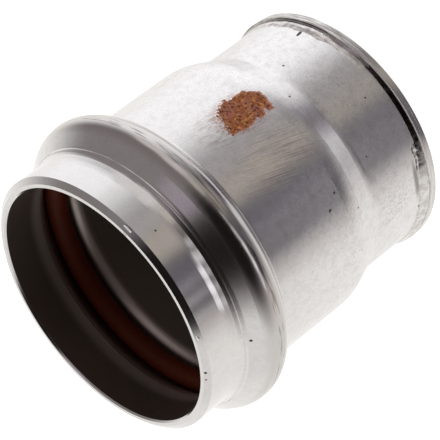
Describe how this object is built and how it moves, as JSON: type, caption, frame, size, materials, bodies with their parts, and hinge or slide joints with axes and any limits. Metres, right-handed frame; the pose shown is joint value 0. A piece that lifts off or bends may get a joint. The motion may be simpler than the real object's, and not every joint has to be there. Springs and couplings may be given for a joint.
{
  "type": "press fit end cap",
  "caption": "Press fit end cap for pipe: a formed steel tube with pipe guide, seal bead, socket, stop shoulder and neck, closed by a welded disc.",
  "frame": {"origin": "centre of the closed face, which the cap stands on", "axes": "+Z along the socket's axis, out of the mouth; the cap is round, so X and Y are free, and the rust patch is on the -Y, +X side"},
  "size_m": [0.0354, 0.0354, 0.0364],
  "materials": {
    "formed_stainless": "pickled, satin, with a rust patch",
    "seal_rubber": "moulded, satin",
    "disc_stainless": "edge turned, face satin",
    "weld_metal": "as welded"
  },
  "bodies": {
    "root": {"body": "formed_stainless", "seal_ring": "seal_rubber", "end_disc": "disc_stainless", "weld_seam": "weld_metal"}
  },
  "joints": []
}
